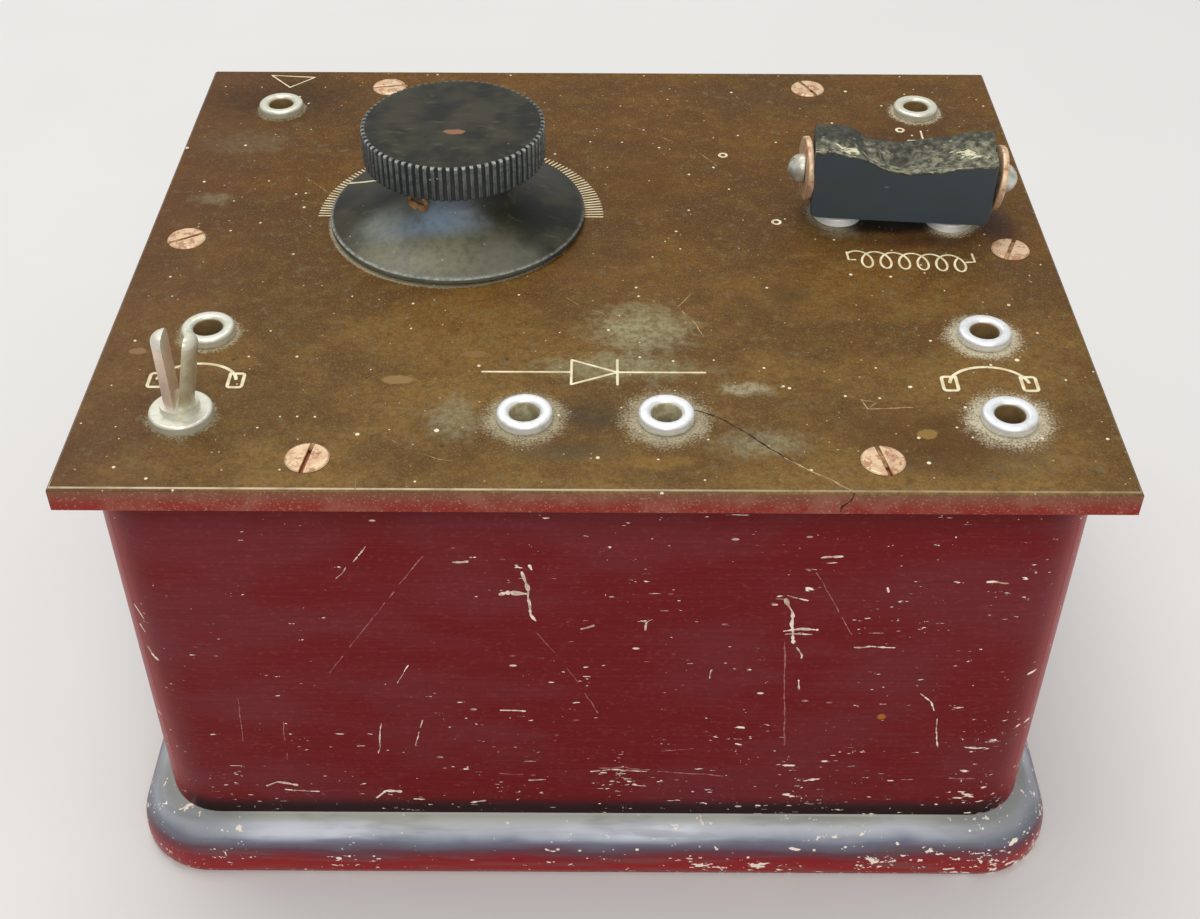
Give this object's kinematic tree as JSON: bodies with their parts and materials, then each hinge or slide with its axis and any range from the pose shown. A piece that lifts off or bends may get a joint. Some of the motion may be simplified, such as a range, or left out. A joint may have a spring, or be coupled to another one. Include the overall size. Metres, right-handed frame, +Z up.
{
  "type": "crystal radio",
  "caption": "Wooden-cased crystal radio: ebonite panel with dial knob, plug sockets and a plug-in coil holder, moulded base, full inner tuner.",
  "frame": {"origin": "centre of the base's underside", "axes": "+X to the set's right along the front, +Y to the back, +Z up"},
  "size_m": [0.145, 0.1204, 0.0952],
  "materials": {
    "panel_ebonite": "aged ebonite, browned by light, dull with pale specks and scratches",
    "lacquered_wood": "oxblood lacquer on wood, satin, chipped to the pale wood",
    "black_lacquered_wood": "black lacquer on moulded wood, worn pale at the edges",
    "black_ebonite": "black moulded ebonite, dulled, pale on worn edges",
    "plug_ebonite": "slate-black ebonite with a rough broken top",
    "nickelled_brass": "worn nickel plate on turned brass, slightly yellow",
    "tarnished_copper": "dull pink-brown tarnished screw metal",
    "brass": "plain turned brass",
    "aluminium_sheet": "plain stamped sheet",
    "vulcanised_fibre": "red vulcanised fibre sheet",
    "tinned_copper": "tinned square copper wire",
    "capacitor_case": "moulded brown case"
  },
  "bodies": {
    "cabinet": {"base_board": "black_lacquered_wood", "base_screws": "brass", "case_front": "lacquered_wood", "case_back": "lacquered_wood", "case_left": "lacquered_wood", "case_right": "lacquered_wood", "panel": "panel_ebonite", "panel_screws": "tarnished_copper", "aerial_socket": "nickelled_brass", "earth_socket": "nickelled_brass", "detector_socket_left": "nickelled_brass", "detector_socket_right": "nickelled_brass", "phone_socket_left_upper": "nickelled_brass", "phone_socket_right_upper": "nickelled_brass", "phone_socket_right_lower": "nickelled_brass", "coil_socket_left": "nickelled_brass", "coil_socket_right": "nickelled_brass", "phone_split_pin": "nickelled_brass", "socket_nuts": "brass", "solder_tags": "tinned_copper", "tuner_top_plate": "black_ebonite", "tuner_bottom_plate": "black_ebonite", "bearing_bush": "brass", "bush_nut": "brass", "lower_bush": "brass", "stator_vanes": "aluminium_sheet", "stator_rods": "brass", "stator_spacers": "brass", "stator_nuts": "brass", "stator_tags": "tinned_copper", "contact_spring": "brass", "contact_screw": "brass", "phone_capacitor": "capacitor_case", "capacitor_leads": "tinned_copper", "aerial_wire": "tinned_copper", "stator_coil_wire": "tinned_copper", "stator_detector_wire": "tinned_copper", "rotor_earth_wire": "tinned_copper", "coil_earth_wire": "tinned_copper", "phone_wire_right": "tinned_copper", "phone_wire_left": "tinned_copper", "phone_return_wire": "tinned_copper", "phone_earth_wire": "tinned_copper"},
    "tuner": {"knob_grip": "black_ebonite", "dial_skirt": "black_ebonite", "knob_insert": "brass", "knob_set_screw": "tarnished_copper", "rotor_shaft": "brass", "rotor_vanes": "aluminium_sheet", "rotor_spacers": "brass", "stop_arm": "vulcanised_fibre"},
    "coil_plug": {"plug_block": "plug_ebonite", "plug_pins": "nickelled_brass", "plug_screws": "nickelled_brass", "plug_washers": "tarnished_copper"}
  },
  "joints": [
    {"name": "tuning_knob", "type": "hinge", "parent": "cabinet", "child": "tuner", "pos_m": [-0.022, 0.008, 0], "axis": [0, 0, 1], "range_deg": [-157, 23]},
    {"name": "coil_plug_pull", "type": "slide", "parent": "cabinet", "child": "coil_plug", "axis": [0, 0, 1], "range_m": [0, 0.03]}
  ]
}
